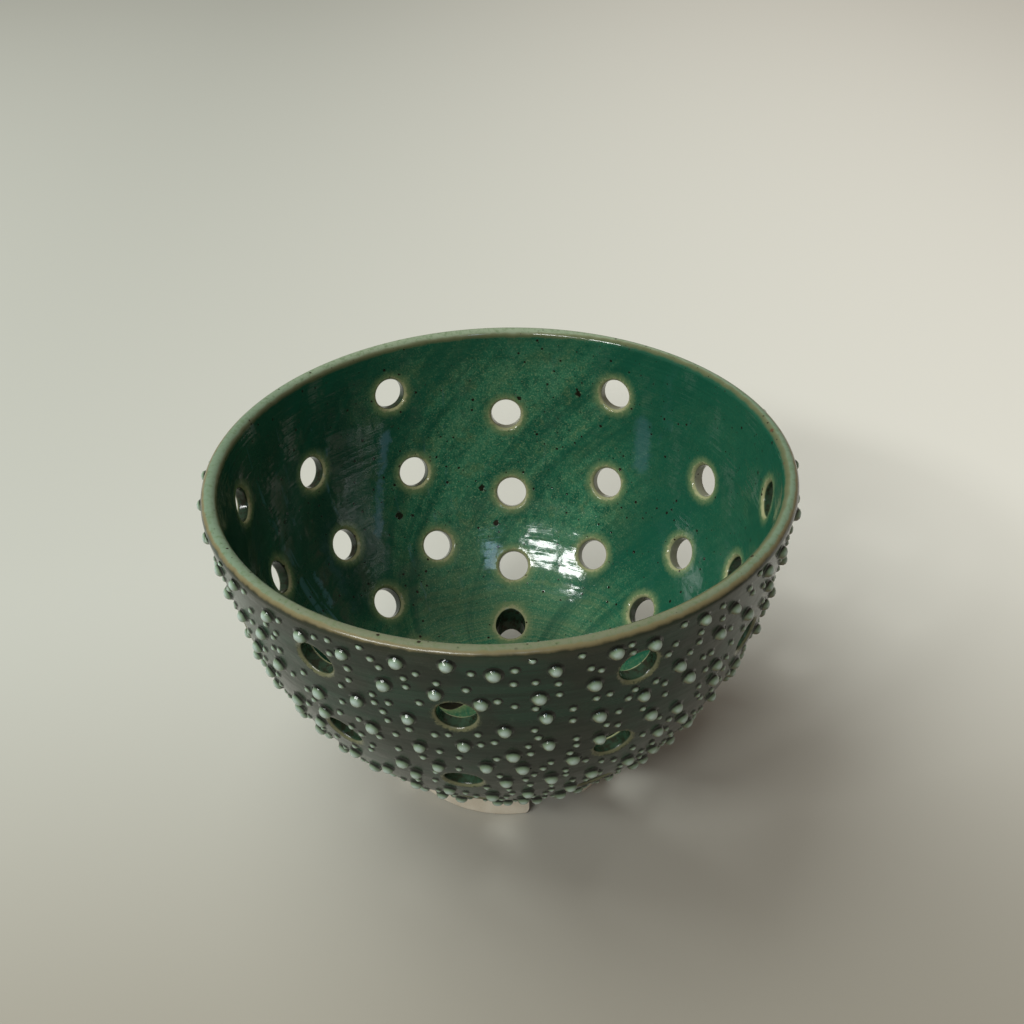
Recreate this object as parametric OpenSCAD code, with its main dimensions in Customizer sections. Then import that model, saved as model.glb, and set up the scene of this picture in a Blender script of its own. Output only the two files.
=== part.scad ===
// Berry colander bowl in stoneware: a thrown wall with drilled drain holes,
// a foot ring cut by three notches, and rows of raised slip dots outside.
// The origin is on the table, under the middle of the bowl.

/* [Bowl] */
// Outside diameter across the lip
rim_d = 155; // [135:1:175]
// Height of the lip above the table
bowl_h = 100; // [92:1:112]
// Thickness of the wall, and width of the rounded lip
wall_t = 4.2; // [3.2:0.1:5.4]
// Outward lean of the straight band under the lip, in degrees
flare_deg = 9.5; // [6:0.5:12]
// Radius of the curved side, at the middle of the wall
side_r = 99; // [85:0.5:112]
// Outward lean of the straight lower wall, in degrees
lower_deg = 43; // [40:0.5:45]
// Thickness of the floor
floor_t = 5; // [4:0.1:6.5]
// Radius inside, where the floor turns up into the wall
floor_r = 24; // [14:0.5:26]
// Radius of the heel, where the lower wall turns under to the foot
heel_r = 5; // [3:0.1:7]

/* [Foot] */
// Outside diameter of the foot ring
foot_d = 66; // [58:0.5:72]
// Height of the foot ring
foot_h = 9; // [7:0.1:11]
// Width of the foot ring
foot_w = 6.5; // [5:0.1:8]
// Width of each notch between two feet
notch_w = 16.5; // [10:0.5:22]
// Rounding of the feet at the notches
notch_r = 2.5; // [1:0.1:3.5]
// Rounding of the edges that a foot stands on
foot_edge_r = 1; // [0.5:0.1:2]
// Cove inside the ring, where a foot meets the floor
cove_r = 2; // [1:0.1:3]
// Direction of the first notch, in degrees
notch_turn = -67; // [-180:1:180]

/* [Drain holes] */
// Diameter of every drain hole
hole_d = 9.3; // [7:0.1:10]
// Flat of the floor left between its ring of holes and where it turns up
floor_edge = 1.7; // [1:0.1:3]
// Place of the lowest holes, in degrees up the turn from floor to wall
heel_hole_deg = 22; // [20:0.5:24]

/* [Slip dots] */
// Base diameter of a large dot
large_d = 3.6; // [2.6:0.1:4.4]
// Height of a large dot
large_h = 1.7; // [1:0.1:2.2]
// Radius of a large dot's rounded tip
large_tip_r = 1.2; // [0.8:0.1:1.5]
// Base diameter of a small dot
small_d = 1.9; // [1.4:0.1:2.2]
// Height of a small dot
small_h = 0.75; // [0.4:0.05:0.9]
// Number of large dots in each of the top rows
top_dots = 40; // [34:1:44]
// Least distance between neighbouring large dots in the rows below
dot_gap = 10.4; // [9:0.1:13]
// Distance of the first row below the middle of the lip
first_row_drop = 3.5; // [3:0.1:5]
// Distance of the last row above the base of the wall
last_row_rise = 9.4; // [8:0.1:12]
// Least bare glaze between a dot and a drain hole
hole_clear = 0.6; // [0.2:0.1:1]
// Least bare glaze round a small dot, to the dots beside it
dot_clear = 0.9; // [0.5:0.1:1.5]

/* [Hidden] */
foot_count = 3;
row_count = 10;
column_count = 12;
rows = [1 : row_count];

foot_names = ["foot_front_left", "foot_right", "foot_rear_left"];

$fn = 64;
overrun = 1;
lip_steps = 14;
side_steps = 14;
heel_steps = 5;
floor_steps = 8;

// Down the wall, the holes of even columns alternate with those of odd ones.
// The shares are of the wall's length, from the lip to the base.
even_row_shares = [0.13, 0.41, 0.67];
odd_row_shares = [0.26, 0.52, 0.755];
// The holes are drilled by hand, so each column is turned a few degrees, and
// each hole is lifted and moved sideways by a share of its diameter.
column_turns = [-2, -3, -2, -3, -5, -7, -7, -6, -5.5, -10, -8, -5];
hole_lift_shares = [
    [0.05, 0, 0.1], [-0.35, -0.15, -0.05], [-0.25, -0.35, -0.1], [0.05, 0.05, 0],
    [-0.05, 0.05, 0.15], [-0.05, -0.05, 0], [-0.2, -0.15, 0], [0.1, 0, -0.1],
    [0.15, 0.2, 0], [0.65, 0.1, 0.05], [0.3, 0.3, 0.1], [0, 0.1, -0.05]];
hole_side_shares = [
    [-0.05, 0.4, 0.1], [0.1, -0.1, 0.05], [0.15, 0, -0.1], [0.1, -0.05, -0.1],
    [0.35, -0.05, -0.25], [0.2, 0, -0.3], [0.15, -0.15, -0.1], [0.1, -0.1, 0],
    [0, 0, 0.1], [0.1, -0.05, 0], [0.15, -0.15, 0], [0, 0.1, -0.1]];

// Where a row of dots starts, as a share of the step between two of its dots
row_start_shares = [0.9, 0.55, 0.85, 0.95, 0.4, 0.1, 0.5, 0.25, 0.6, 0.05];
// How far the hand strays, as shares of the step along a row and of the gap
// between rows
large_stray_shares = [0.16, 0.27];
small_stray_shares = [0.22, 0.15];
// Where small dots are tried in each step of a row: a share of the step along,
// and a share of the gap between rows down
small_try_shares = [[0.5, -0.33], [0.42, 0], [0.55, 0.33], [0, 0.5]];
// What mixes up the strays: turns, in degrees, from dot to dot and for each
// row, a factor, and how far the strays down the wall are drawn from those
// along it
stray_turn = 137.5;
stray_mix = 997;
stray_skip = 100;
row_stray_turns = [54, 102, 333, 30, 33, 84, 6, 147, 195, 9];

half_t = wall_t / 2;
floor_z = foot_h + floor_t;

// The middle line of the wall: a straight band under the lip, an arc and a
// straight lower wall. Each point is [radius, height], and every lean is from
// upright.
function out_at(lean) = [cos(lean), -sin(lean)];
function down_at(lean) = [-sin(lean), -cos(lean)];
foot_r = foot_d / 2;
turn_share = tan((90 - lower_deg) / 2);
lip_mid = [rim_d / 2 - half_t, bowl_h - half_t];
base_corner = [foot_r + heel_r * turn_share, foot_h];
base_mid = base_corner - [half_t / cos(lower_deg), 0];

// The two straight runs would meet in a corner, which the arc rounds off
bend_deg = lower_deg - flare_deg;
span = lip_mid - base_mid;
lower_run = (span[0] * cos(flare_deg) - span[1] * sin(flare_deg)) / sin(bend_deg);
flare_run = (span[1] - lower_run * cos(lower_deg)) / cos(flare_deg);
bend_len = side_r * tan(bend_deg / 2);
flare_len = flare_run - bend_len;
lower_len = lower_run - bend_len;
arc_len = side_r * bend_deg * PI / 180;
arc_top = lip_mid + flare_len * down_at(flare_deg);
side_mid = arc_top - side_r * out_at(flare_deg);
arc_end = side_mid + side_r * out_at(lower_deg);
wall_len = flare_len + arc_len + lower_len;

// The wall at a distance below the lip, down its middle line
function lean_at(s) = s < flare_len ? flare_deg
    : min(lower_deg, flare_deg + (s - flare_len) / side_r * 180 / PI);
function mid_at(s) = s < flare_len ? lip_mid + s * down_at(flare_deg)
    : s < flare_len + arc_len ? side_mid + side_r * out_at(lean_at(s))
    : arc_end + (s - flare_len - arc_len) * down_at(lower_deg);

// The heel turns under to the foot, and the floor turns up into the wall
heel_mid = [foot_r, foot_h + heel_r];
floor_corner = base_mid + [floor_t * tan(lower_deg) - half_t / cos(lower_deg), floor_t];
floor_mid = [floor_corner[0] - floor_r * turn_share, floor_z + floor_r];
floor_ring_r = floor_mid[0] - floor_edge - hole_d / 2;

// A place round the bowl: a point of the section, turned to a direction
function around(point, turn) = [point[0] * cos(turn), point[0] * sin(turn), point[1]];
function outside_at(s) = mid_at(s) + half_t * out_at(lean_at(s));

function is_even(column) = column % 2 == 0;
function column_turn(column) = column * 360 / column_count + column_turns[column];
function hole_drop(column, row) =
    (is_even(column) ? even_row_shares : odd_row_shares)[row] * wall_len
    - hole_lift_shares[column][row] * hole_d;
function hole_turn(column, row) = column_turn(column)
    + hole_side_shares[column][row] * hole_d / mid_at(hole_drop(column, row))[0] * 180 / PI;

columns = [0 : column_count - 1];
hole_rows = [0 : len(even_row_shares) - 1];
wall_holes = [for (c = columns, row = hole_rows) [hole_drop(c, row), hole_turn(c, row)]];
heel_hole_top = floor_mid + floor_r * [sin(heel_hole_deg), -cos(heel_hole_deg)];
// The lowest holes run square to the lower wall, and end on its outside
heel_hole_len = (base_corner - heel_hole_top) * out_at(lower_deg);
heel_hole_end = heel_hole_top + heel_hole_len * out_at(lower_deg);
hole_mouths = concat(
    [for (h = wall_holes) around(outside_at(h[0]), h[1])],
    [for (c = columns) if (!is_even(c)) around(heel_hole_end, column_turn(c))]);

// The stray of a dot placed by hand, between -1 and 1
function mixed(turn) = stray_mix * abs(sin(turn));
function stray(index, row) = let (m = mixed(index * stray_turn + row_stray_turns[row - 1]))
    2 * (m - floor(m)) - 1;

// A dot's place is its distance below the middle of the lip and its turn, and
// its spot is the point on the outside of the wall
function spot(place) = around(outside_at(place[0]), place[1]);
function is_clear(place, spots, gap) = len(spots) == 0
    || min([for (s = spots) norm(s - spot(place))]) > gap;

dot_row_gap = (wall_len - first_row_drop - last_row_rise) / (row_count - 1);
function row_drop(row) = first_row_drop + (row - 1) * dot_row_gap;
function dots_in(row) = min(top_dots, round(2 * PI * outside_at(row_drop(row))[0] / dot_gap));
function dot_place(row, steps, row_steps, index, stray_shares) = [
    row_drop(row) + (row_steps + stray(index + stray_skip, row) * stray_shares[1]) * dot_row_gap,
    (steps + row_start_shares[row - 1] + stray(index, row) * stray_shares[0]) * 360 / dots_in(row)];

function large_places(row) = row < 1 || row > row_count ? [] : [for (i = [1 : dots_in(row)])
    let (place = dot_place(row, i, 0, i, large_stray_shares))
        if (is_clear(place, hole_mouths, (hole_d + large_d) / 2 + hole_clear)) place];

function small_tries(row) = row < 1 ? [] : [for (i = [1 : dots_in(row)], t = [1 : len(small_try_shares)])
    let (shares = small_try_shares[t - 1])
        dot_place(row, i + shares[0], shares[1], i + 2 * t * stray_skip, small_stray_shares)];

// A small dot is left out where it would crowd a hole, a large dot or a small
// dot that is tried before it
function small_places(row) =
    let (tries = small_tries(row),
         spots = [for (place = tries) spot(place)],
         above = [for (place = small_tries(row - 1)) spot(place)],
         large = [for (r = [row - 1 : row + 1], place = large_places(r)) spot(place)])
    [for (i = [0 : len(tries) - 1])
        if (tries[i][0] > 0
            && is_clear(tries[i], hole_mouths, (hole_d + small_d) / 2 + hole_clear)
            && is_clear(tries[i], large, (large_d + small_d) / 2 + dot_clear)
            && is_clear(tries[i], above, small_d + dot_clear)
            && is_clear(tries[i], [for (k = [0 : 1 : i - 1]) spots[k]], small_d + dot_clear))
        tries[i]];

// The square corner that rounding takes away, with the corner at the origin
module corner_2d(r) {
    difference() {
        square(r);
        translate([r, r]) circle(r);
    }
}

// Points along an arc, between two leans of its radius
function arc(middle, r, from, to, steps) = [for (i = [0 : steps])
    middle + r * out_at(from + (to - from) * i / steps)];

// The wall's section, from inside the lip over the top, down to the heel,
// under the floor to the middle, and back up inside
module wall_section() {
    polygon(concat(
        arc(lip_mid, half_t, flare_deg - 180, flare_deg, lip_steps),
        arc(side_mid, side_r + half_t, flare_deg, lower_deg, side_steps),
        arc(heel_mid, heel_r, lower_deg, 90, heel_steps),
        [[0, foot_h], [0, floor_z]],
        arc(floor_mid, floor_r, 90, lower_deg, floor_steps),
        arc(side_mid, side_r - half_t, lower_deg, flare_deg, side_steps)));
}

// A drill standing on the outside of the wall, pointing through it
module wall_drill(place) {
    translate(around(mid_at(place[0]), place[1]))
        rotate([0, 90 + lean_at(place[0]), place[1]])
            cylinder(h = wall_t + 4 * overrun, d = hole_d, center = true);
}

module heel_drill(turn) {
    translate(around(heel_hole_end, turn))
        rotate([0, 90 + lower_deg, turn])
            cylinder(h = 2 * (heel_hole_len + hole_d), d = hole_d, center = true);
}

module floor_drill() {
    translate([0, 0, foot_h - overrun]) cylinder(h = floor_t + 2 * overrun, d = hole_d);
}

module bowl_wall() {
    color([0.10, 0.30, 0.22]) difference() {
        rotate_extrude($fn = 180) wall_section();
        for (place = wall_holes) wall_drill(place);
        for (c = columns) {
            if (is_even(c)) rotate(column_turn(c)) translate([floor_ring_r, 0, 0]) floor_drill();
            else heel_drill(column_turn(c));
        }
        floor_drill();
    }
}

// The foot ring's section, rounded where it stands and coved where it is fixed
module foot_section() {
    inner_r = foot_r - foot_w;
    difference() {
        translate([inner_r, 0]) square([foot_w, foot_h]);
        translate([inner_r, 0]) corner_2d(foot_edge_r);
        translate([foot_r, 0]) mirror([1, 0]) corner_2d(foot_edge_r);
    }
    translate([inner_r, foot_h]) rotate(180) corner_2d(cove_r);
}

// What a notch takes from the ring, with its low corners opened out
module notch() {
    rotate([90, 0, 90]) linear_extrude(foot_r + overrun) {
        translate([-notch_w / 2, -overrun]) square([notch_w, foot_h + 2 * overrun]);
        translate([notch_w / 2, 0]) corner_2d(notch_r);
        mirror([1, 0]) translate([notch_w / 2, 0]) corner_2d(notch_r);
    }
}

module foot(index) {
    share = 360 / foot_count;
    color([0.80, 0.76, 0.66]) rotate(notch_turn - (index + 1) * share) difference() {
        rotate_extrude(angle = share, $fn = 180) foot_section();
        notch();
        rotate(share) notch();
    }
}

// A dot of slip stands up in a rounded peak
module large_dot() {
    shoulder = large_h - large_tip_r;
    rotate_extrude($fn = 24) {
        polygon([[0, 0], [large_d / 2, 0], [large_tip_r, shoulder], [0, shoulder]]);
        translate([0, shoulder]) intersection() {
            circle(large_tip_r);
            square(large_tip_r);
        }
    }
}

module small_dot() {
    ball_r = (pow(small_d / 2, 2) + pow(small_h, 2)) / (2 * small_h);
    rotate_extrude($fn = 24) intersection() {
        translate([0, small_h - ball_r]) circle(ball_r);
        square([small_d, small_h]);
    }
}

module on_wall(place) {
    translate(around(outside_at(place[0]), place[1]))
        rotate([0, 90 + lean_at(place[0]), place[1]]) children();
}

module large_dots_row(row) {
    color([0.52, 0.66, 0.52]) for (place = large_places(row)) on_wall(place) large_dot();
}

module small_dots_row(row) {
    color([0.44, 0.57, 0.45]) for (place = small_places(row)) on_wall(place) small_dot();
}

bowl_wall();
foot(0);  // foot_front_left
foot(1);  // foot_rear_left
foot(2);  // foot_right
large_dots_row(1);  // large_dots_row_1
large_dots_row(2);  // large_dots_row_2
large_dots_row(3);  // large_dots_row_3
large_dots_row(4);  // large_dots_row_4
large_dots_row(5);  // large_dots_row_5
large_dots_row(6);  // large_dots_row_6
large_dots_row(7);  // large_dots_row_7
large_dots_row(8);  // large_dots_row_8
large_dots_row(9);  // large_dots_row_9
large_dots_row(10);  // large_dots_row_10
small_dots_row(1);  // small_dots_row_1
small_dots_row(2);  // small_dots_row_2
small_dots_row(3);  // small_dots_row_3
small_dots_row(4);  // small_dots_row_4
small_dots_row(5);  // small_dots_row_5
small_dots_row(6);  // small_dots_row_6
small_dots_row(7);  // small_dots_row_7
small_dots_row(8);  // small_dots_row_8
small_dots_row(9);  // small_dots_row_9
small_dots_row(10);  // small_dots_row_10
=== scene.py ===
import bpy
import math
import numpy as np
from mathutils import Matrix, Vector
from mathutils.bvhtree import BVHTree


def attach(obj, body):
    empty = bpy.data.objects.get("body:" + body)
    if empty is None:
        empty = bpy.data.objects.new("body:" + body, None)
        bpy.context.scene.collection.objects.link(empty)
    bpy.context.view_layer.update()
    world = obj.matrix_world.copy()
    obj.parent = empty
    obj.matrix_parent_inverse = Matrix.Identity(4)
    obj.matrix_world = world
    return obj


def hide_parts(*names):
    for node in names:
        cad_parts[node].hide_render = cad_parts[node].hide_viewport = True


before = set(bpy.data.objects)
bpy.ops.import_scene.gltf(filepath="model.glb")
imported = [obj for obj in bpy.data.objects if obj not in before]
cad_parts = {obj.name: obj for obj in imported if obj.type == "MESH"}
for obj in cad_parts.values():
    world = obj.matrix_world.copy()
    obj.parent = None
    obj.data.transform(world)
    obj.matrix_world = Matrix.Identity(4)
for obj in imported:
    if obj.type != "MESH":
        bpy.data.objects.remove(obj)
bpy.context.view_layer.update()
mm = 0.001
print("frame loaded")

# Sizes of the thrown bowl, in mm and degrees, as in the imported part
bowl = dict(rimD=155, height=100, wall=4.2, flareDeg=9.5, sideR=99, lowerDeg=43,
            floor=5, floorR=24, heelR=5, footD=66, footH=9)


def outAt(lean):
    return np.array([math.cos(math.radians(lean)), -math.sin(math.radians(lean))])


def downAt(lean):
    return np.array([-math.sin(math.radians(lean)), -math.cos(math.radians(lean))])


# The middle line of the wall: a straight band, an arc and a straight lower wall
half = bowl["wall"] / 2
flare, lower = bowl["flareDeg"], bowl["lowerDeg"]
sinLow, cosLow, tanLow = [f(math.radians(lower)) for f in (math.sin, math.cos, math.tan)]
turnShare = math.tan(math.radians(90 - lower) / 2)
lipMid = np.array([bowl["rimD"] / 2 - half, bowl["height"] - half])
baseCorner = np.array([bowl["footD"] / 2 + bowl["heelR"] * turnShare, bowl["footH"]])
baseMid = baseCorner - np.array([half / cosLow, 0])
span, bend = lipMid - baseMid, math.radians(lower - flare)
lowerRun = span @ outAt(flare) / math.sin(bend)
flareRun = (span[1] - lowerRun * cosLow) / outAt(flare)[0]
bendLen = bowl["sideR"] * math.tan(bend / 2)
flareLen, lowerLen, arcLen = flareRun - bendLen, lowerRun - bendLen, bowl["sideR"] * bend
arcTop = lipMid + flareLen * downAt(flare)
sideMid = arcTop - bowl["sideR"] * outAt(flare)
arcEnd = sideMid + bowl["sideR"] * outAt(lower)
wallLen = flareLen + arcLen + lowerLen
floorZ = bowl["footH"] + bowl["floor"]
floorMid = np.array([baseMid[0] + bowl["floor"] * tanLow - half / cosLow - bowl["floorR"] * turnShare,
                     floorZ + bowl["floorR"]])
heelMid = np.array([bowl["footD"] / 2, bowl["footH"] + bowl["heelR"]])


def leanAt(s):
    if s < flareLen:
        return flare
    return min(lower, flare + math.degrees((s - flareLen) / bowl["sideR"]))


# A point of the section, s mm down the wall from the lip's middle and w mm outwards
def sectionAt(s, w=0):
    if s < flareLen:
        point = lipMid + s * downAt(flare)
    elif s < flareLen + arcLen:
        point = sideMid + bowl["sideR"] * outAt(leanAt(s))
    else:
        point = arcEnd + (s - flareLen - arcLen) * downAt(lower)
    return point + w * outAt(leanAt(s))


def around(point, turn):
    return np.array([point[0] * math.cos(math.radians(turn)),
                     point[0] * math.sin(math.radians(turn)), point[1]])


def onWall(s, turn, w=0):
    return around(sectionAt(s, w), turn)


def outwardAt(s, turn):
    return around(outAt(leanAt(s)), turn)


# Drain holes, drilled by hand in twelve columns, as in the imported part. Only the heel hole of one
# column is drilled more upright. Sines tell how far down a drill points
holes = dict(bore=9.3, columns=12, floorEdge=1.7, heelDeg=22, softEdge=1.15, beyond=0.9, drillSides=36,
             softTurns=(0, 17, 34, 50, 66), capShares=(0, 0.3, 0.6, 0.85), rayAside=0.02, rayUp=0.03,
             heelShare=0.999, heelSoftShare=0.4, steepColumn=3, steepBy=54, steepSine=0.95,
             steepSoftShare=0.12, plumbSine=0.99, reach=9.0,
             evenShares=(0.13, 0.41, 0.67), oddShares=(0.26, 0.52, 0.755),
             turns=(-2, -3, -2, -3, -5, -7, -7, -6, -5.5, -10, -8, -5),
             lifts=((0.05, 0, 0.1), (-0.35, -0.15, -0.05), (-0.25, -0.35, -0.1), (0.05, 0.05, 0),
                    (-0.05, 0.05, 0.15), (-0.05, -0.05, 0), (-0.2, -0.15, 0), (0.1, 0, -0.1),
                    (0.15, 0.2, 0), (0.65, 0.1, 0.05), (0.3, 0.3, 0.1), (0, 0.1, -0.05)),
             sides=((-0.05, 0.4, 0.1), (0.1, -0.1, 0.05), (0.15, 0, -0.1), (0.1, -0.05, -0.1),
                    (0.35, -0.05, -0.25), (0.2, 0, -0.3), (0.15, -0.15, -0.1), (0.1, -0.1, 0),
                    (0, 0, 0.1), (0.1, -0.05, 0), (0.15, -0.15, 0), (0, 0.1, -0.1)))


def columnTurn(column):
    return column * 360 / holes["columns"] + holes["turns"][column]


# Each hole has a middle inside the wall, a direction out through it and its outer mouth
def drillHoles():
    found = []
    bore = holes["bore"]
    upTurn = math.radians(holes["heelDeg"])
    heelTop = floorMid + bowl["floorR"] * np.array([math.sin(upTurn), -math.cos(upTurn)])
    heelEnd = heelTop + (baseCorner - heelTop) @ outAt(lower) * outAt(lower)
    ringR = floorMid[0] - holes["floorEdge"] - bore / 2
    floorMiddle = bowl["footH"] + bowl["floor"] / 2
    for column in range(holes["columns"]):
        turn, even = columnTurn(column), column % 2 == 0
        for row, share in enumerate(holes["evenShares"] if even else holes["oddShares"]):
            s = share * wallLen - holes["lifts"][column][row] * bore
            side = math.degrees(holes["sides"][column][row] * bore / sectionAt(s)[0])
            found.append((onWall(s, turn + side), outwardAt(s, turn + side), onWall(s, turn + side, half)))
        if even:
            found.append((around((ringR, floorMiddle), turn), np.array([0.0, 0, -1]), None))
        else:
            steep = holes["steepBy"] if column == holes["steepColumn"] else 0
            middle = heelTop + np.linalg.norm(heelEnd - heelTop) / 2 * outAt(lower + steep)
            found.append((around(middle, turn), around(outAt(lower + steep), turn), around(heelEnd, turn)))
    found.append((np.array([0, 0, floorMiddle]), np.array([0.0, 0, -1]), None))
    return found


holeAxes = drillHoles()


# A profile of (radius, height) points in mm, spun about the bowl's axis
def lathe(name, profile, steps):
    bpy.ops.object.select_all(action="DESELECT")
    bpy.ops.mesh.primitive_plane_add(size=mm)
    piece = bpy.context.object
    piece.name = piece.data.name = name
    bpy.ops.object.mode_set(mode="EDIT")
    bpy.ops.mesh.select_all(action="SELECT")
    bpy.ops.mesh.merge(type="CENTER")
    bpy.ops.transform.translate(value=(profile[0][0] * mm, 0, profile[0][1] * mm))
    for a, b in zip(profile, profile[1:]):
        step = ((b[0] - a[0]) * mm, 0, (b[1] - a[1]) * mm)
        bpy.ops.mesh.extrude_region_move(TRANSFORM_OT_translate={"value": step})
    bpy.ops.mesh.select_all(action="SELECT")
    bpy.ops.mesh.spin(steps=steps, angle=math.tau, center=(0, 0, 0), axis=(0, 0, 1))
    bpy.ops.mesh.select_all(action="SELECT")
    bpy.ops.mesh.remove_doubles(threshold=1e-6)
    bpy.ops.mesh.normals_make_consistent(inside=False)
    bpy.ops.object.mode_set(mode="OBJECT")
    return piece


def pointsOf(piece):
    flat = np.zeros(len(piece.data.vertices) * 3)
    piece.data.vertices.foreach_get("co", flat)
    return flat.reshape(-1, 3) / mm


def setPoints(piece, points):
    piece.data.vertices.foreach_set("co", (np.asarray(points) * mm).ravel())
    piece.data.update()


def storeOn(piece, name, values):
    layer = piece.data.attributes.new(name, "FLOAT", "POINT")
    layer.data.foreach_set("value", np.asarray(values, np.float32))


def pickOnly(*pieces):
    bpy.ops.object.select_all(action="DESELECT")
    for piece in pieces:
        piece.select_set(True)
    bpy.context.view_layer.objects.active = pieces[0]


def applyModifier(piece, kind, **settings):
    pickOnly(piece)
    modifier = piece.modifiers.new(kind.title(), kind)
    for key, value in settings.items():
        setattr(modifier, key, value)
    bpy.ops.object.modifier_apply(modifier=modifier.name)


# The thrown wall: its section with the soft ridges that fingers leave
thrown = dict(turns=340, rowGap=1.35, floorRows=20, turnUpSteps=16, lipSteps=18, heelSteps=8, underRows=12,
              ridge=0.07, floorRidge=0.16, ridgeFadeIn=6, lipDip=0.35, dipFrom=70, dipOver=30)


def ridges(s, size):
    return size * (math.sin(s * 0.83 + 0.7) + 0.8 * math.sin(s * 0.47 + 2.1) + 0.5 * math.sin(s * 1.71)) / 2.3


def arcPoints(middle, r, start, end, steps):
    return [middle + r * outAt(start + (end - start) * i / steps) for i in range(steps + 1)]


def floorAt(r):
    ripple = ridges(r * 1.6, thrown["floorRidge"]) + thrown["floorRidge"] * math.cos(r * 0.9)
    return floorZ + ripple * min(1, (floorMid[0] - r) / 4, 0.3 + r / 6)


# From the middle of the floor inside, over the lip, to the middle of the underside
def wallSection():
    gap, fadeIn = thrown["rowGap"], thrown["ridgeFadeIn"]
    innerEnd = flareLen + arcLen + (arcEnd[1] + half * sinLow
                                    - (floorMid[1] - bowl["floorR"] * sinLow)) / cosLow
    outerEnd = flareLen + arcLen + (arcEnd[1] - half * sinLow
                                    - (heelMid[1] - bowl["heelR"] * sinLow)) / cosLow
    floor = [np.array([r, floorAt(r)]) for r in np.linspace(0, floorMid[0], thrown["floorRows"])[:-1]]
    turnUp = arcPoints(floorMid, bowl["floorR"], 90, lower, thrown["turnUpSteps"])[:-1]
    inner = [sectionAt(s, -half + ridges(s, thrown["ridge"]) * min(1, s / fadeIn))
             for s in np.linspace(innerEnd, 0, round(innerEnd / gap))][:-1]
    lip = arcPoints(lipMid, half, flare - 180, flare, thrown["lipSteps"])
    outer = [sectionAt(s, half + ridges(s + 40, thrown["ridge"]) * min(1, s / fadeIn))
             for s in np.linspace(0, outerEnd, round(outerEnd / gap))][1:]
    heel = arcPoints(heelMid, bowl["heelR"], lower, 90, thrown["heelSteps"])[1:]
    under = [np.array([r, bowl["footH"]]) for r in np.linspace(heelMid[0], 0, thrown["underRows"])][1:]
    return floor + turnUp + inner + lip + outer + heel + under


# How far below the lip's top each point of the wall lies, and how far through it
def wallPlaces(points):
    spots = np.linspace(0, wallLen, 500)
    line = np.array([sectionAt(s) for s in spots])
    inward = np.linspace(baseMid[0], 0, 60)[1:]
    floorLine = np.stack([inward, np.full(len(inward), bowl["footH"] + bowl["floor"] / 2)], 1)
    line = np.concatenate([line, floorLine])
    steps = np.diff(line, axis=0, prepend=line[:1])
    along = np.cumsum(np.hypot(steps[:, 0], steps[:, 1]))
    tangent = np.gradient(line, axis=0)
    tangent /= np.linalg.norm(tangent, axis=1)[:, None]
    section = np.stack([np.hypot(points[:, 0], points[:, 1]), points[:, 2]], 1)
    drop, through, batch = np.zeros(len(section)), np.zeros(len(section)), 4000
    for start in range(0, len(section), batch):
        part = section[start:start + batch]
        away = part[:, None, :] - line[None]
        near = (away ** 2).sum(2).argmin(1)
        gap = part - line[near]
        drop[start:start + batch] = along[near]
        through[start:start + batch] = gap[:, 1] * tangent[near, 0] - gap[:, 0] * tangent[near, 1]
    above = section[:, 1] > lipMid[1] + (section[:, 0] - lipMid[0]) * math.tan(math.radians(flare))
    lean = np.degrees(np.arctan2(section[:, 0] - lipMid[0], section[:, 1] - lipMid[1]))
    overLip = np.radians(lean) * half
    lipWay = np.where(above, overLip, np.sign(through) * (drop + half * math.pi / 2))
    return lipWay, through


# How far each point lies from the nearest bore
def holeDistance(points):
    best = np.full(len(points), holes["reach"])
    for middle, axis, mouth in holeAxes:
        away = points - middle
        across = np.linalg.norm(away - np.outer(away @ axis, axis), axis=1) - holes["bore"] / 2
        best = np.where(np.abs(away @ axis) < holes["reach"], np.minimum(best, across), best)
    return best


print("turning the wall")
bowlWall = lathe("bowlWall", wallSection(), thrown["turns"])
points = pointsOf(bowlWall)
turns = np.arctan2(points[:, 1], points[:, 0])
# The lip dips a little, by an uneven amount round the bowl
lipShare = np.clip((points[:, 2] - thrown["dipFrom"]) / thrown["dipOver"], 0, 1) ** 2
points[:, 2] -= thrown["lipDip"] * lipShare * (0.5 + 0.3 * np.sin(2 * turns + 1) + 0.2 * np.sin(3 * turns))
setPoints(bowlWall, points)


# A drill with flared ends that leave a soft edge, set to the wall's own surface
def drillShape():
    soft, r = holes["softEdge"], holes["bore"] / 2
    flareOut = [(r + soft * (1 - math.cos(math.radians(a))), half - soft + soft * math.sin(math.radians(a)))
                for a in holes["softTurns"]]
    a = math.radians(holes["softTurns"][-1])
    rise = soft * (1 - math.sin(a)) + holes["beyond"]
    flareOut.append((flareOut[-1][0] + rise * math.tan(a), half + holes["beyond"]))
    top = [(r * share, half + holes["beyond"]) for share in holes["capShares"]] + flareOut[::-1]
    return top + [(x, -z) for x, z in top[::-1]]


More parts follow.
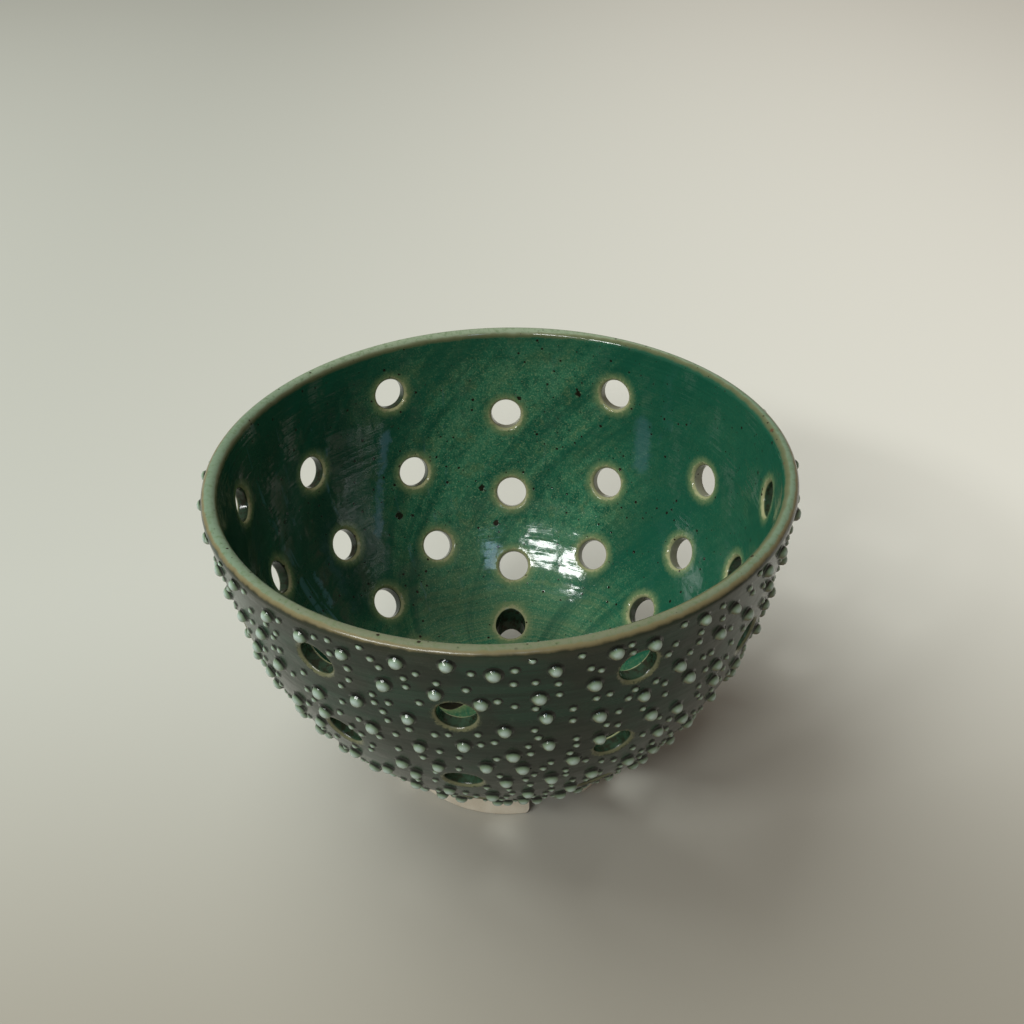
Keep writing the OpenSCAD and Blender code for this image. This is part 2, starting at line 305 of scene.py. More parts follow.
print("drilling", len(holeAxes), "holes")
surface = BVHTree.FromObject(bowlWall, bpy.context.evaluated_depsgraph_get())
drill = lathe("drill", drillShape(), holes["drillSides"])
shape = pointsOf(drill)
drills = []
for middle, axis, mouth in holeAxes:
    sideways = np.cross(axis, (0, 0, 1) if abs(axis[2]) < holes["plumbSine"] else (0, 1, 0))
    sideways /= np.linalg.norm(sideways)
    upwards = np.cross(sideways, axis)
    # Holes in the heel and in the straight lower wall have less of a soft edge
    isLow = mouth is not None and -axis[2] > holes["heelShare"] * sinLow
    softShare = holes["steepSoftShare" if -axis[2] > holes["steepSine"] else "heelSoftShare"]
    placed = []
    for x, y, z in shape:
        r, bore = math.hypot(x, y), holes["bore"] / 2
        spread = 1 + (softShare - 1) * (r - bore) / r if isLow and r > bore else 1
        start = middle + spread * (x * sideways + y * upwards)
        way = axis * (1 if z > 0 else -1)
        # A little off the drill's own lines, so that no ray meets an edge
        rayStart = start + holes["rayAside"] * sideways + holes["rayUp"] * upwards
        hit = surface.ray_cast(Vector(rayStart * mm), Vector(way))
        depth = hit[3] / mm if hit[0] else half
        placed.append(start + way * (depth + abs(z) - half))
    one = drill.copy()
    one.data = drill.data.copy()
    bpy.context.collection.objects.link(one)
    setPoints(one, placed)
    drills.append(one)
bpy.data.objects.remove(drill)
pickOnly(*drills)
bpy.ops.object.join()
drills = bpy.context.object
bpy.ops.object.mode_set(mode="EDIT")
bpy.ops.mesh.select_all(action="SELECT")
bpy.ops.mesh.normals_make_consistent(inside=False)
bpy.ops.object.mode_set(mode="OBJECT")
applyModifier(bowlWall, "BOOLEAN", operation="DIFFERENCE", object=drills, solver="EXACT")
bpy.data.objects.remove(drills)

points = pointsOf(bowlWall)
lipWay, through = wallPlaces(points)
storeOn(bowlWall, "lipWay", lipWay)
storeOn(bowlWall, "outside", np.clip(through / half * 0.5 + 0.5, 0, 1))
storeOn(bowlWall, "holeGap", holeDistance(points))
pickOnly(bowlWall)
bpy.ops.object.shade_smooth()
applyModifier(bowlWall, "WEIGHTED_NORMAL", keep_sharp=True, weight=60)
print("wall:", len(bowlWall.data.polygons), "faces")
wallSurface = BVHTree.FromObject(bowlWall, bpy.context.evaluated_depsgraph_get())

# Dots of slip in rows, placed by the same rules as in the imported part. They vary a little in size,
# sag down the wall, and their skirts are drawn onto the wall's own surface
dots = dict(rows=10, topDots=40, gap=10.4, firstDrop=3.5, lastRise=9.4, holeClear=0.6, dotClear=0.9,
            largeD=3.6, smallD=1.9, largeStray=(0.16, 0.27), smallStray=(0.22, 0.15),
            tries=((0.5, -0.33), (0.42, 0), (0.55, 0.33), (0, 0.5)),
            starts=(0.9, 0.55, 0.85, 0.95, 0.4, 0.1, 0.5, 0.25, 0.6, 0.05),
            strayTurn=137.5, strayMix=997, straySkip=100,
            rowTurns=(54, 102, 333, 30, 33, 84, 6, 147, 195, 9),
            largeShape=((0, -0.3), (2.6, -0.02), (1.95, 0.08), (1.68, 0.50), (1.38, 1.12), (0.78, 1.58),
                        (0, 1.7)),
            smallShape=((0, -0.25), (1.5, -0.02), (0.98, 0.08), (0.62, 0.5), (0, 0.73)),
            largeSides=12, smallSides=8, grow=0.08, growSkip=7, tall=0.05, tallSkip=31, sag=0.10,
            skirtFrom=0.9, castFrom=1.5, castNear=0.9, castFar=2.3, sunk=0.03, lightSide=0.40, lightUp=0.9,
            smoothDeg=70)
rowGap = (wallLen - dots["firstDrop"] - dots["lastRise"]) / (dots["rows"] - 1)
holeMouths = [mouth for middle, axis, mouth in holeAxes if mouth is not None]


def stray(index, row):
    m = dots["strayMix"] * abs(math.sin(math.radians(index * dots["strayTurn"] + dots["rowTurns"][row - 1])))
    return 2 * (m - math.floor(m)) - 1


def rowDrop(row):
    return dots["firstDrop"] + (row - 1) * rowGap


def dotsIn(row):
    return min(dots["topDots"], round(math.tau * sectionAt(rowDrop(row), half)[0] / dots["gap"]))


def dotPlace(row, steps, rowSteps, index, strays):
    return (rowDrop(row) + (rowSteps + stray(index + dots["straySkip"], row) * strays[1]) * rowGap,
            (steps + dots["starts"][row - 1] + stray(index, row) * strays[0]) * 360 / dotsIn(row))


def spot(place):
    return onWall(place[0], place[1], half)


def isClear(point, others, gap):
    return len(others) == 0 or np.linalg.norm(np.asarray(others) - point, axis=1).min() > gap


def largePlaces(row):
    if not 1 <= row <= dots["rows"]:
        return []
    gap = (holes["bore"] + dots["largeD"]) / 2 + dots["holeClear"]
    places = [dotPlace(row, i, 0, i, dots["largeStray"]) for i in range(1, dotsIn(row) + 1)]
    return [p for p in places if isClear(spot(p), holeMouths, gap)]


def smallTries(row):
    if row < 1:
        return []
    return [dotPlace(row, i + share[0], share[1], i + 2 * (t + 1) * dots["straySkip"], dots["smallStray"])
            for i in range(1, dotsIn(row) + 1) for t, share in enumerate(dots["tries"])]


def smallPlaces(row):
    tries = smallTries(row)
    spots = [spot(p) for p in tries]
    above = [spot(p) for p in smallTries(row - 1)]
    large = [spot(p) for r in (row - 1, row, row + 1) for p in largePlaces(r)]
    small, clear = dots["smallD"], dots["dotClear"]
    return [p for i, p in enumerate(tries)
            if p[0] > 0 and isClear(spots[i], holeMouths, (holes["bore"] + small) / 2 + dots["holeClear"])
            and isClear(spots[i], large, (dots["largeD"] + small) / 2 + clear)
            and isClear(spots[i], above, small + clear) and isClear(spots[i], spots[:i], small + clear)]


# Every dot of a row is a copy of one turned shape, pressed onto the wall
def dotRow(name, places, template, size, row):
    shape = pointsOf(template)
    faces = [tuple(f.vertices) for f in template.data.polygons]
    edgeR, top = np.hypot(shape[:, 0], shape[:, 1]).max(), shape[:, 2].max()
    allPoints, allFaces, rise, upside = [], [], [], []
    for index, (s, turn) in enumerate(places):
        grow = 1 + dots["grow"] * stray(index + dots["growSkip"], row)
        tall = 1 + dots["tall"] * stray(index + dots["tallSkip"], row)
        base = len(allPoints)
        for x, y, z in shape:
            down, h = x * grow + dots["sag"] * max(z, 0), z * tall
            r = sectionAt(s + down, half)[0]
            turned = turn + math.degrees(y * grow / r)
            point = onWall(max(0, s + down), turned, half + h)
            if np.hypot(x, y) > edgeR * dots["skirtFrom"]:
                outward = outwardAt(max(0, s + down), turned)
                hit = wallSurface.ray_cast(Vector((point + dots["castFrom"] * outward) * mm), Vector(-outward))
                if hit[0] and dots["castNear"] < hit[3] / mm < dots["castFar"]:
                    point = np.array(hit[0]) / mm - dots["sunk"] * outward
            allPoints.append(point)
            rise.append(max(z, 0) / top)
            upside.append((dots["lightSide"] * y - dots["lightUp"] * x) / size)
        allFaces += [tuple(v + base for v in f) for f in faces]
    mesh = bpy.data.meshes.new(name)
    mesh.from_pydata([tuple(p * mm) for p in allPoints], [], allFaces)
    piece = bpy.data.objects.new(name, mesh)
    bpy.context.collection.objects.link(piece)
    points = np.array(allPoints)
    storeOn(piece, "lipWay", wallPlaces(points)[0])
    storeOn(piece, "outside", np.ones(len(points)))
    storeOn(piece, "holeGap", holeDistance(points))
    storeOn(piece, "rise", rise)
    storeOn(piece, "upside", upside)
    pickOnly(piece)
    bpy.ops.object.shade_smooth_by_angle(angle=math.radians(dots["smoothDeg"]))
    return piece


print("placing dots")
largeTemplate = lathe("largeTemplate", dots["largeShape"], dots["largeSides"])
smallTemplate = lathe("smallTemplate", dots["smallShape"], dots["smallSides"])
dotPieces = []
for row in range(1, dots["rows"] + 1):
    for kind, places, template, size in (("large", largePlaces(row), largeTemplate, dots["largeD"] / 2),
                                         ("small", smallPlaces(row), smallTemplate, dots["smallD"] / 2)):
        piece = dotRow(f"{kind}DotsRow{row}", places, template, size, row)
        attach(piece, "root")
        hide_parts(f"{kind}_dots_row_{row}")
        dotPieces.append(piece)
        print(piece.name, len(places), "dots")
bpy.data.objects.remove(largeTemplate)
bpy.data.objects.remove(smallTemplate)


# A node with its settings; an input is a value or a link
def put(tree, kind, inputs=None, **settings):
    node = tree.nodes.new(kind)
    for key, value in settings.items():
        setattr(node, key, value)
    for key, value in (inputs or {}).items():
        if isinstance(value, bpy.types.NodeSocket):
            tree.links.new(value, node.inputs[key])
        else:
            node.inputs[key].default_value = value
    return node


def calc(tree, operation, a, b=0.0, clamp=False):
    return put(tree, "ShaderNodeMath", {0: a, 1: b}, operation=operation, use_clamp=clamp).outputs[0]


# From low to high as the value goes from start to end
def fade(tree, value, start, end, low=0.0, high=1.0, kind="SMOOTHSTEP"):
    node = put(tree, "ShaderNodeMapRange", {"Value": value, "From Min": start, "From Max": end,
                                            "To Min": low, "To Max": high}, interpolation_type=kind)
    return node.outputs["Result"]


def tint(tree, share, a, b):
    a, b = [(*c, 1) if isinstance(c, tuple) else c for c in (a, b)]
    return put(tree, "ShaderNodeMix", {0: share, 6: a, 7: b}, data_type="RGBA").outputs[2]


def noise(tree, vector, scale, detail=2.0, roughness=0.5, distortion=0.0):
    return put(tree, "ShaderNodeTexNoise", {"Vector": vector, "Scale": scale, "Detail": detail,
                                            "Roughness": roughness, "Distortion": distortion}).outputs["Fac"]


def stretched(tree, vector, scale):
    return put(tree, "ShaderNodeMapping", {"Vector": vector, "Scale": scale}).outputs[0]


def attribute(tree, name):
    return put(tree, "ShaderNodeAttribute", attribute_name=name).outputs["Fac"]


def newGroup(name, inputs, outputs):
    group = bpy.data.node_groups.new(name, "ShaderNodeTree")
    for label, kind, value in inputs:
        socket = group.interface.new_socket(label, in_out="INPUT", socket_type=kind)
        if value is not None:
            socket.default_value = value
    for label, kind in outputs:
        group.interface.new_socket(label, in_out="OUTPUT", socket_type=kind)
    return group, group.nodes.new("NodeGroupInput").outputs, group.nodes.new("NodeGroupOutput").inputs


number, colour, vector = "NodeSocketFloat", "NodeSocketColor", "NodeSocketVector"
inMm = (1 / mm,) * 3


def times(tree, a, b):
    return calc(tree, "MULTIPLY", a, b)


def plus(tree, a, b):
    return calc(tree, "ADD", a, b)


def minus(tree, a, b):
    return calc(tree, "SUBTRACT", a, b)


# A noise turned into a wander to both sides
def wander(tree, value, size):
    return times(tree, minus(tree, value, 0.5), size)


# A band that is full between two places and gone outside two others
def within(tree, value, start, full, end, gone):
    return times(tree, fade(tree, value, start, full), fade(tree, value, gone, end))


def vectorMath(tree, operation, inputs, output=0):
    return put(tree, "ShaderNodeVectorMath", inputs, operation=operation).outputs[output]


def lineNoise(tree, way, scale, roughness):
    return put(tree, "ShaderNodeTexNoise", {"W": way, "Scale": scale, "Detail": 3.0, "Roughness": roughness},
               noise_dimensions="1D").outputs["Fac"]


# The distance from a line between two points
def lineGap(tree, place, start, end):
    run = Vector(end) - Vector(start)
    away = vectorMath(tree, "SUBTRACT", {0: place, 1: start})
    along = vectorMath(tree, "DOT_PRODUCT", {0: away, 1: tuple(run / run.length_squared)}, "Value")
    along = calc(tree, "MULTIPLY", along, 1.0, clamp=True)
    near = vectorMath(tree, "SCALE", {0: tuple(run), 3: along})
    return vectorMath(tree, "DISTANCE", {0: away, 1: near}, "Value")


# Dark iron specks: a mask from scattered cells, of which only some have a speck
def speckGroup():
    group, inputs, outputs = newGroup(
        "ironSpecks",
        [("Place", vector, None), ("Spacing", number, 3.0), ("Size", number, 0.25), ("Share", number, 0.5)],
        [("Mask", number)])
    place, spacing, size = inputs["Place"], inputs["Spacing"], inputs["Size"]
    cells = put(group, "ShaderNodeTexVoronoi", {"Scale": calc(group, "DIVIDE", 1.0, spacing), "Vector": place},
                voronoi_dimensions="3D")
    pick = put(group, "ShaderNodeSeparateColor", {0: cells.outputs["Color"]})
    wobble = wander(group, noise(group, place, 2.6, 2.0), size)
    away = plus(group, times(group, cells.outputs["Distance"], spacing), wobble)
    reach = times(group, size, fade(group, pick.outputs[1], 0.0, 1.0, 0.35, 1.3, "LINEAR"))
    dot = fade(group, away, times(group, reach, 0.75), times(group, reach, 1.2), 1.0, 0.0)
    kept = calc(group, "LESS_THAN", pick.outputs[0], inputs["Share"])
    group.links.new(times(group, dot, kept), outputs["Mask"])
    return group


specks = speckGroup()


def speckMask(tree, place, spacing, size, share):
    node = put(tree, "ShaderNodeGroup", node_tree=specks)
    tree.links.new(place, node.inputs["Place"])
    for key, value in (("Spacing", spacing), ("Size", size), ("Share", share)):
        node.inputs[key].default_value = value
    return node.outputs["Mask"]


# Colours of the glaze, linear
glaze = dict(poolAndShade=(0.0065, 0.034, 0.021), deep=(0.009, 0.076, 0.043), emerald=(0.026, 0.140, 0.074),
             bright=(0.066, 0.220, 0.118), olive=(0.092, 0.150, 0.062), fleck=(0.300, 0.385, 0.200),
             milk=(0.075, 0.165, 0.200), swirl=(0.105, 0.190, 0.090), umber=(0.016, 0.010, 0.005),
             outer=(0.012, 0.044, 0.026), outerWarm=(0.017, 0.028, 0.017), outerDark=(0.004, 0.013, 0.008),
             haloIn=(0.165, 0.225, 0.100), haloOut=(0.036, 0.052, 0.026), rim=(0.330, 0.325, 0.175),
             bore=(0.022, 0.050, 0.028), paintedBoreLight=(0.230, 0.235, 0.165), sage=(0.165, 0.238, 0.158),
             tan=(0.210, 0.175, 0.085), frontLip=(0.165, 0.168, 0.100), backLipHighlight=(0.270, 0.330, 0.220),
             underLip=(0.050, 0.045, 0.027), innerLip=(0.150, 0.135, 0.060), ring=(0.001, 0.005, 0.003),
             mint=(0.195, 0.285, 0.180), warm=(0.150, 0.120, 0.072), cream=(0.480, 0.600, 0.560),
             iron=(0.012, 0.005, 0.003), rust=(0.100, 0.035, 0.018))

# Inside the bowl. A layer has a pattern, where it starts and is full, its strength and its colour
innerLook = dict(streakTwist=0.014, cloudShare=0.55, streakShare=0.45, deepFrom=0.36, deepTo=0.55,
                 layers=(("streaks", 0.50, 0.72, 0.50, "bright"), ("tongues", 0.48, 0.70, 0.42, "olive"),
                         ("patches", 0.53, 0.68, 0.45, "olive"), ("patches", 0.46, 0.33, 0.65, "deep"),
                         ("mottle", 0.50, 0.70, 0.60, "bright"), ("mottle", 0.48, 0.32, 0.75, "deep"),
                         ("grain", 0.50, 0.40, 0.40, "deep")),
                 floorFrom=40.0, floorTo=16.0, floorShare=0.62, swirlScale=0.55, swirlSway=5.0,
                 swirlFrom=0.38, swirlTo=0.62, fleckFrom=0.51, fleckTo=0.70, fleckShare=0.62,
                 leftShadeFrom=2.0, leftShadeTo=-28.0, leftShadeShare=0.85, leftShadeSway=44.0,
                 rightFrom=6.0, rightTo=34.0, rightShare=0.85, rightSway=30.0,
                 runWind=(0.001, 13.0, 0.016), runs=(0.60, 0.68), runPatches=(0.46, 0.60),
                 runSides=(12.0, -4.0, 0.10, 0.60), darkFrom=0.50, darkTo=0.36, darkShare=0.60,
                 smudge=5.0, lipFrom=-16.0, lipTo=-5.0, lipShare=0.55)
# Pale blue streaks: both ends in mm, half width and strength
paleStreaks = (((-35.0, 59.0, 72.0), (-38.8, 45.0, 46.0), 2.4, 0.65),
            ((-55.5, 21.0, 48.0), (-52.5, 18.5, 38.5), 1.6, 0.70),
            ((45.2, 54.2, 76.0), (43.4, 49.6, 64.0), 4.2, 0.30))


def innerGlaze(group, place, axes, radius, wound, patterns, lipWay):
    look, clouds, streaks = innerLook, patterns["clouds"], patterns["streaks"]
    depth = plus(group, times(group, clouds, look["cloudShare"]), times(group, streaks, look["streakShare"]))
    inner = tint(group, fade(group, depth, look["deepFrom"], look["deepTo"]), glaze["deep"], glaze["emerald"])
    for name, start, full, share, shade in look["layers"]:
        inner = tint(group, fade(group, patterns[name], start, full, 0.0, share), inner, glaze[shade])

    # The floor is paler, with throwing lines, and fine flecks lie over it all
    swirlWay = plus(group, radius, times(group, clouds, look["swirlSway"]))
    swirls = lineNoise(group, swirlWay, look["swirlScale"], 0.7)
    swirled = fade(group, swirls, look["swirlFrom"], look["swirlTo"])
    swirled = tint(group, swirled, glaze["emerald"], glaze["swirl"])
    onFloor = fade(group, axes[2], look["floorFrom"], look["floorTo"], 0.0, look["floorShare"])
    inner = tint(group, onFloor, inner, swirled)
    flecks = fade(group, patterns["grain"], look["fleckFrom"], look["fleckTo"], 0.0, look["fleckShare"])
    inner = tint(group, flecks, inner, glaze["fleck"])

    # Painted shade darkens the inside on the left, which faces away from the light; the right is deeper green
    # again
    side = plus(group, axes[0], times(group, clouds, look["leftShadeSway"]))
    leftShade = times(group, fade(group, side, look["leftShadeFrom"], look["leftShadeTo"]), look["leftShadeShare"])
    inner = tint(group, leftShade, inner, glaze["poolAndShade"])
    right = minus(group, axes[0], times(group, streaks, look["rightSway"]))
    right = fade(group, right, look["rightFrom"], look["rightTo"], 0.0, look["rightShare"])
    inner = tint(group, right, inner, glaze["deep"])
    runs = fade(group, noise(group, wound(*look["runWind"]), 1.0, 3.0, 0.6, 0.3), *look["runs"])
    runs = times(group, runs, fade(group, patterns["patches"], *look["runPatches"]))
    runs = times(group, runs, fade(group, side, *look["runSides"]))
    inner = tint(group, runs, inner, glaze["milk"])

    # Dark streaks, a dark band below the lip and the larger pale blue streaks
    dark = times(group, fade(group, streaks, look["darkFrom"], look["darkTo"]), look["darkShare"])
    inner = tint(group, dark, inner, glaze["deep"])
    underLip = fade(group, lipWay, look["lipFrom"], look["lipTo"], 0.0, look["lipShare"])
    inner = tint(group, underLip, inner, glaze["deep"])
    smudge = wander(group, noise(group, place, 0.45, 3.0, 0.7), look["smudge"])
    for start, end, size, share in paleStreaks:
        gone = plus(group, lineGap(group, place, start, end), smudge)
        inner = tint(group, fade(group, gone, size, size * 0.3, 0.0, share), inner, glaze["milk"])
    return inner


# Outside: a thin, dark, slate-green coat, greyer in bands
outerLook = dict(warm=(0.38, 0.62), bandStretch=(0.02, 0.02, 0.30), bands=(0.40, 0.62, 0.0, 0.55),
                 mottled=(0.60, 0.75, 0.0, 0.10))


def outerGlaze(group, place, mottle):
    bands = noise(group, stretched(group, place, outerLook["bandStretch"]), 1.0, 3.0, 0.6)
    warmer = fade(group, noise(group, place, 0.05, 3.0, 0.6), *outerLook["warm"])
    outer = tint(group, warmer, glaze["outer"], glaze["outerWarm"])
    outer = tint(group, fade(group, bands, *outerLook["bands"]), outer, glaze["outerDark"])
    return tint(group, fade(group, mottle, *outerLook["mottled"]), outer, glaze["sage"])


# The lip, by mm of way over its top, from inside (less than 0) to outside
lipLook = dict(sage=(-3.0, -1.7, 1.1, 2.2), tan=(0.9, 1.5, 1.9, 2.8), inner=(-4.0, -2.9, -2.3, -1.5),
               rust=(-3.0, -1.0, 3.0, 4.5), tanShare=0.75, innerShare=0.6, rustShare=0.85,
               underFrom=2.2, underTo=5.5, underShare=0.40,
               frontFrom=-35.0, frontTo=-72.0, backHighlightFrom=20.0, backHighlightTo=72.0, endShare=0.8,
               rightFrom=5.0, rightTo=45.0, rightBy=1.5, mottled=(0.45, 0.68, 0.0, 0.55), wander=1.2)


# The glaze breaks on the lip: sage on top, warmer in front, tan along the outer edge; behind, a painted
# highlight makes it paler
def lipGlaze(group, place, axes, base, outside, way):
    look = lipLook
    under = fade(group, way, look["underFrom"], look["underTo"], look["underShare"], 0.0)
    base = tint(group, under, base, tint(group, outside, base, glaze["underLip"]))
    front = fade(group, axes[1], look["frontFrom"], look["frontTo"], 0.0, look["endShare"])
    # Painted highlight: the back of the lip paler, for its glint
    backHighlight = fade(group, axes[1], look["backHighlightFrom"], look["backHighlightTo"], 0.0, look["endShare"])
    sage = tint(group, backHighlight, tint(group, front, glaze["sage"], glaze["frontLip"]), glaze["backLipHighlight"])
    mottled = fade(group, noise(group, place, 0.7, 4.0, 0.7), *look["mottled"])
    sage = tint(group, mottled, sage, glaze["olive"])
    # On the right the inner glaze comes further up
    broken = minus(group, way, fade(group, axes[0], look["rightFrom"], look["rightTo"], 0.0, look["rightBy"]))
    start, full, end, gone = look["sage"]
    top = times(group, fade(group, broken, start, full), fade(group, way, gone, end))
    base = tint(group, top, base, sage)
    base = tint(group, times(group, within(group, way, *look["tan"]), look["tanShare"]), base, glaze["tan"])
    innerEdge = times(group, within(group, broken, *look["inner"]), look["innerShare"])
    return tint(group, innerEdge, base, glaze["innerLip"])


# Holes: mm of halo inside and outside, and the mm over which the rim and the bore begin
holeLook = dict(ragged=3.6, reachIn=3.6, reachOut=1.9, haloFull=0.3, haloShare=0.85, rimFrom=1.25, rimTo=0.40,
                rimIn=0.85, rimOut=0.42, boreFrom=0.22, boreTo=0.02, rimStart=0.02, rimEnd=0.20,
                umber=(0.42, 0.62, 0.0, 0.7), litBore=((-30.0, 0.0), (10.0, 40.0), (22.0, 34.0)))


# A pale rim at the edge, an olive halo round it and the bore darker; at the back the bores get a painted
# highlight, as lit from above
def holeGlaze(group, place, axes, base, outside, mottle, holeGap):
    look = holeLook
    gap = plus(group, holeGap, wander(group, noise(group, place, 0.9, 5.0, 0.85), look["ragged"]))
    reach = fade(group, outside, 0.0, 1.0, look["reachIn"], look["reachOut"], "LINEAR")
    halo = fade(group, gap, reach, look["haloFull"], 0.0, look["haloShare"])
    base = tint(group, halo, base, tint(group, outside, glaze["haloIn"], glaze["haloOut"]))
    edge = times(group, fade(group, gap, look["rimFrom"], look["rimTo"]),
                 fade(group, holeGap, look["rimStart"], look["rimEnd"]))
    edge = times(group, edge, fade(group, outside, 0.0, 1.0, look["rimIn"], look["rimOut"], "LINEAR"))
    base = tint(group, edge, base, glaze["rim"])
    bore = tint(group, fade(group, mottle, *look["umber"]), glaze["bore"], glaze["umber"])
    # Painted light: the bores at the back paler, as lit from above by the sky
    litBoreX, litBoreY, litBoreZ = [fade(group, axes[i], *ends) for i, ends in enumerate(look["litBore"])]
    litBore = times(group, times(group, litBoreX, litBoreY), litBoreZ)
    bore = tint(group, litBore, bore, glaze["paintedBoreLight"])
    return tint(group, fade(group, holeGap, look["boreFrom"], look["boreTo"]), base, bore)


# Dots: a dark ring round the base, most of it above, partly pooled glaze and partly painted shade and
# reflection;
# the top is pale, with a painted highlight, and a painted warm reflection below. Rise goes from 0 at the base
# to 1 at the top, and upside is above 0 on the side away from the foot
dotLook = dict(poolAndShadeRise=(0.0, 0.030), poolAndShadeUpside=(-1.2, 0.8, 0.35, 1.0), crestWander=0.25, bareLean=0.12,
               bare=(0.10, 0.52), warmRise=(0.15, 0.40), warmUpside=(0.20, -0.75), warmShare=0.90,
               litCrest=(0.50, 0.95), litUpside=(-0.35, 0.20), litShare=0.85)


def dotTop(group, base, mottle, rise, upside, poolAndShade):
    look = dotLook
    # The dark ring round the dot: partly pooled glaze, partly painted shade and reflection
    base = tint(group, poolAndShade, base, glaze["ring"])
    crest = plus(group, rise, wander(group, mottle, look["crestWander"]))
    bare = fade(group, minus(group, crest, times(group, upside, look["bareLean"])), *look["bare"])
    base = tint(group, bare, base, glaze["mint"])
    # A painted warm reflection on the lower side of each dot
    warm = times(group, fade(group, rise, *look["warmRise"]), fade(group, upside, *look["warmUpside"]))
    base = tint(group, times(group, warm, look["warmShare"]), base, glaze["warm"])
    # Pale at the crest where the glaze breaks, with a painted highlight on the upper side
    lit = times(group, fade(group, crest, *look["litCrest"]), fade(group, upside, *look["litUpside"]))
    return tint(group, times(group, lit, look["litShare"]), base, glaze["cream"])


# Iron specks: spacing and size in mm, and the share of cells that have one. Larger brown blots
# inside: place in mm and size
speckLook = dict(fine=(2.9, 0.38, 0.80), small=(1.5, 0.20, 0.42), smallShare=0.7, rust=(5.2, 0.5, 0.22),
                 outShare=0.10, inShare=0.95, ragged=2.4, blotEdge=(1.25, 0.8))
blots = (((-5.9, 61.2, 50.1), 1.0), ((-32.4, 51.0, 47.6), 1.1), ((-1.8, 55.8, 39.8), 1.0),
         ((25.5, 65.7, 81.1), 0.9), ((-28.5, 52.5, 46.5), 0.6), ((7.0, 69.6, 78.2), 0.6),
         ((38.0, 53.5, 60.0), 0.5))


def ironMarks(group, place, outside):
    fine, small = [speckMask(group, place, *speckLook[kind]) for kind in ("fine", "small")]
    marks = calc(group, "MAXIMUM", fine, times(group, small, speckLook["smallShare"]))
    ragged = wander(group, noise(group, place, 1.1, 3.0, 0.7), speckLook["ragged"])
    outEdge, inEdge = speckLook["blotEdge"]
    for middle, size in blots:
        away = plus(group, vectorMath(group, "DISTANCE", {0: place, 1: middle}, "Value"), ragged)
        marks = calc(group, "MAXIMUM", marks, fade(group, away, size * outEdge, size * inEdge))
    inside = minus(group, 1.0, outside)
    shown = fade(group, inside, 0.0, 1.0, speckLook["outShare"], speckLook["inShare"], "LINEAR")
    return times(group, marks, shown)


# Relief in mm: throwing lines inside and outside, slow waves, mottle and pits at the specks
relief = dict(combIn=0.06, combOut=0.045, combUp=0.8, combAcross=0.6, combRate=1.1, combSway=2.0,
              swayStretch=(0.03, 0.03, 0.03), waves=0.20, mottle=0.012, pits=0.03)
# Roughness of the glaze, what mottle adds and what pooled glaze takes off
roughness = dict(inside=0.07, outside=0.20, mottle=0.06, poolAndShade=0.08)


def glazeHeight(group, place, axes, radius, outside, mottle, marks):
    way = minus(group, times(group, axes[2], relief["combUp"]), times(group, radius, relief["combAcross"]))
    sway = noise(group, stretched(group, place, relief["swayStretch"]), 1.0, 2.0)
    way = plus(group, times(group, way, relief["combRate"]), times(group, sway, relief["combSway"]))
    combed = times(group, lineNoise(group, way, 1.0, 0.5),
                   fade(group, outside, 0.0, 1.0, relief["combIn"], relief["combOut"], "LINEAR"))
    height = plus(group, combed, times(group, noise(group, place, 0.16, 2.0, 0.5), relief["waves"]))
    height = plus(group, height, times(group, mottle, relief["mottle"]))
    return minus(group, height, times(group, marks, relief["pits"]))


